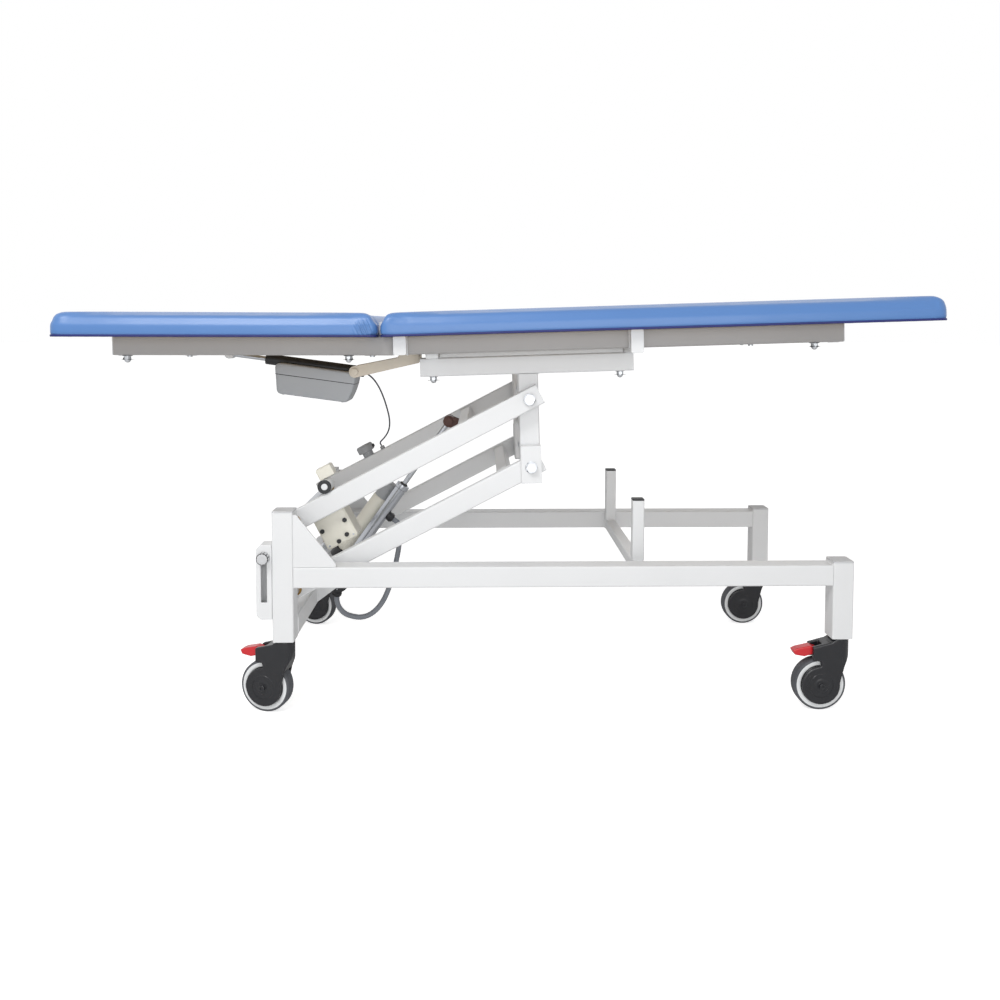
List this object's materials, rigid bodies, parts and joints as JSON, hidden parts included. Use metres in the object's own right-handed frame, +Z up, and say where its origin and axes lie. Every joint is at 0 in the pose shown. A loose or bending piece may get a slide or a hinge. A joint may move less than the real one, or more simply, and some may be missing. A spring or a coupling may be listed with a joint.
{
  "type": "treatment table",
  "caption": "Height-adjustable treatment table on castors, with parallel lift arms, two actuators and a folding backrest",
  "frame": {"origin": "on the floor, under the middle of the part's bounding box", "axes": "X along the table from head end to foot end, Y across it to the far side, Z up"},
  "size_m": [2.0584, 0.7015, 0.9878],
  "materials": {
    "white_paint": "powder coat, off-white, satin",
    "black_plastic": "moulded, black, matt",
    "bright_steel": "zinc plated, bright",
    "brown_paint": "dark brown primer, satin",
    "cream_plastic": "moulded, cream, satin",
    "bush_brass": "sintered bearing bronze",
    "birch_plywood": "birch plywood, unfinished",
    "blue_vinyl": "upholstery vinyl, mid blue, soft sheen",
    "beige_paint": "powder coat, beige",
    "grey_plastic": "moulded, light grey, satin",
    "castor_grey": "glass-filled nylon, dark grey",
    "light_tyre": "non-marking rubber, light grey",
    "red_plastic": "moulded, red, glossy"
  },
  "bodies": {
    "base": {"base_legs": "white_paint", "side_rails": "white_paint", "base_cross_tubes": "white_paint", "rest_posts": "white_paint", "tube_caps": "black_plastic", "base_plates": "white_paint", "pivot_shafts": "bright_steel", "castor_stems": "bright_steel", "slide_bracket": "white_paint"},
    "lock_pin": {"slide_knob": "black_plastic"},
    "upper_arms": {"upper_arms": "white_paint", "rod_bracket": "brown_paint", "guide_stub": "white_paint", "arm_fittings": "cream_plastic", "control_box": "cream_plastic", "black_plugs": "black_plastic", "upper_bushes": "bush_brass", "backrest_lead": "black_plastic"},
    "lower_arms": {"lower_arms": "white_paint", "lower_bushes": "bush_brass"},
    "carriage": {"carriage_columns": "white_paint", "lift_beams": "white_paint", "pivot_bolts": "bright_steel", "seat_rails": "white_paint", "seat_cross_tubes": "white_paint", "seat_board": "birch_plywood", "seat_cushion": "blue_vinyl", "seat_bolts": "bright_steel", "hinge_brackets": "white_paint", "actuator_bracket": "beige_paint"},
    "backrest": {"backrest_rails": "white_paint", "backrest_cross_tubes": "white_paint", "backrest_board": "birch_plywood", "backrest_cushion": "blue_vinyl", "backrest_bolts": "bright_steel", "hinge_ears": "white_paint"},
    "backrest_actuator": {"backrest_motor_housing": "grey_plastic", "backrest_actuator_tube": "black_plastic"},
    "backrest_rod": {"backrest_push_rod": "bright_steel"},
    "lift_actuator": {"lift_gear_housing": "black_plastic", "lift_outer_tube": "bright_steel", "lift_motor": "cream_plastic", "lift_cable": "black_plastic"},
    "lift_rod": {"lift_push_rod": "bright_steel"},
    "castor_1": {"castor_1_fork": "castor_grey"},
    "wheel_1": {"castor_1_hub": "castor_grey", "castor_1_tyre": "light_tyre"},
    "pedal_1": {"castor_1_pedal": "red_plastic"},
    "castor_2": {"castor_2_fork": "castor_grey"},
    "wheel_2": {"castor_2_hub": "castor_grey", "castor_2_tyre": "light_tyre"},
    "pedal_2": {"castor_2_pedal": "red_plastic"},
    "castor_3": {"castor_3_fork": "castor_grey"},
    "wheel_3": {"castor_3_hub": "castor_grey", "castor_3_tyre": "light_tyre"},
    "pedal_3": {"castor_3_pedal": "red_plastic"},
    "castor_4": {"castor_4_fork": "castor_grey"},
    "wheel_4": {"castor_4_hub": "castor_grey", "castor_4_tyre": "light_tyre"},
    "pedal_4": {"castor_4_pedal": "red_plastic"}
  },
  "joints": [
    {"name": "arm_lift", "type": "hinge", "parent": "base", "child": "upper_arms", "pos_m": [-0.50475, 0, 0.445], "axis": [0, -1, 0], "range_deg": [-25, 4], "deforming": ["backrest_lead"]},
    {"name": "lower_arm_swing", "type": "hinge", "parent": "base", "child": "lower_arms", "pos_m": [-0.50475, 0, 0.28], "axis": [0, -1, 0], "range_deg": [-25, 4]},
    {"name": "carriage_level", "type": "hinge", "parent": "upper_arms", "child": "carriage", "pos_m": [0.06774, 0, 0.74429], "axis": [0, -1, 0], "range_deg": [-4, 25]},
    {"name": "backrest_hinge", "type": "hinge", "parent": "carriage", "child": "backrest", "pos_m": [-0.28761, 0, 0.92472], "axis": [0, 1, 0], "range_deg": [0, 70]},
    {"name": "backrest_actuator_tilt", "type": "hinge", "parent": "carriage", "child": "backrest_actuator", "pos_m": [-0.37161, 0, 0.80572], "axis": [0, 1, 0], "range_deg": [0, 67.8]},
    {"name": "backrest_rod_slide", "type": "slide", "parent": "backrest_actuator", "child": "backrest_rod", "axis": [-0.9911, 0, 0.133], "range_m": [0, 0.167]},
    {"name": "lift_actuator_tilt", "type": "hinge", "parent": "base", "child": "lift_actuator", "pos_m": [-0.44075, 0, 0.24], "axis": [0, -1, 0], "range_deg": [-20.3, 3.5]},
    {"name": "lift_rod_slide", "type": "slide", "parent": "lift_actuator", "child": "lift_rod", "axis": [0.5814, 0, 0.8136], "range_m": [-0.084, 0.014]},
    {"name": "lock_knob_slide", "type": "slide", "parent": "base", "child": "lock_pin", "axis": [0, 0, -1], "range_m": [0, 0.085]},
    {"name": "castor_1_swivel", "type": "hinge", "parent": "base", "child": "castor_1", "pos_m": [-0.51575, -0.305, 0], "axis": [0, 0, 1], "continuous": true},
    {"name": "wheel_1_spin", "type": "hinge", "parent": "castor_1", "child": "wheel_1", "pos_m": [-0.56212, -0.29258, 0.0625], "axis": [0.2588, 0.9659, 0], "continuous": true},
    {"name": "pedal_1_press", "type": "hinge", "parent": "castor_1", "child": "pedal_1", "pos_m": [-0.57178, -0.28999, 0.144], "axis": [-0.2588, -0.9659, 0], "range_deg": [0, 12], "stiffness_Nm_per_rad": 2, "springref_deg": -5.73},
    {"name": "castor_2_swivel", "type": "hinge", "parent": "base", "child": "castor_2", "pos_m": [0.81425, -0.305, 0], "axis": [0, 0, 1], "continuous": true},
    {"name": "wheel_2_spin", "type": "hinge", "parent": "castor_2", "child": "wheel_2", "pos_m": [0.76625, -0.305, 0.0625], "axis": [0, 1, 0], "continuous": true},
    {"name": "pedal_2_press", "type": "hinge", "parent": "castor_2", "child": "pedal_2", "pos_m": [0.75625, -0.305, 0.144], "axis": [0, -1, 0], "range_deg": [0, 12], "stiffness_Nm_per_rad": 2, "springref_deg": -5.73},
    {"name": "castor_3_swivel", "type": "hinge", "parent": "base", "child": "castor_3", "pos_m": [0.81425, 0.305, 0], "axis": [0, 0, 1], "continuous": true},
    {"name": "wheel_3_spin", "type": "hinge", "parent": "castor_3", "child": "wheel_3", "pos_m": [0.76625, 0.305, 0.0625], "axis": [0, 1, 0], "continuous": true},
    {"name": "pedal_3_press", "type": "hinge", "parent": "castor_3", "child": "pedal_3", "pos_m": [0.75625, 0.305, 0.144], "axis": [0, -1, 0], "range_deg": [0, 12], "stiffness_Nm_per_rad": 2, "springref_deg": -5.73},
    {"name": "castor_4_swivel", "type": "hinge", "parent": "base", "child": "castor_4", "pos_m": [-0.51575, 0.305, 0], "axis": [0, 0, 1], "continuous": true},
    {"name": "wheel_4_spin", "type": "hinge", "parent": "castor_4", "child": "wheel_4", "pos_m": [-0.56212, 0.31742, 0.0625], "axis": [0.2588, 0.9659, 0], "continuous": true},
    {"name": "pedal_4_press", "type": "hinge", "parent": "castor_4", "child": "pedal_4", "pos_m": [-0.57178, 0.32001, 0.144], "axis": [-0.2588, -0.9659, 0], "range_deg": [0, 12], "stiffness_Nm_per_rad": 2, "springref_deg": -5.73}
  ],
  "couplings": [
    {"joint": "lower_arm_swing", "follows": "arm_lift", "ratio": 0.99235},
    {"joint": "carriage_level", "follows": "arm_lift", "ratio": -1},
    {"joint": "backrest_actuator_tilt", "follows": "backrest_hinge", "ratio": 0.96444},
    {"joint": "backrest_rod_slide", "follows": "backrest_hinge", "m_per_rad": 0.13601},
    {"joint": "lift_actuator_tilt", "follows": "arm_lift", "ratio": 0.79822},
    {"joint": "lift_rod_slide", "follows": "arm_lift", "m_per_rad": 0.18979}
  ]
}
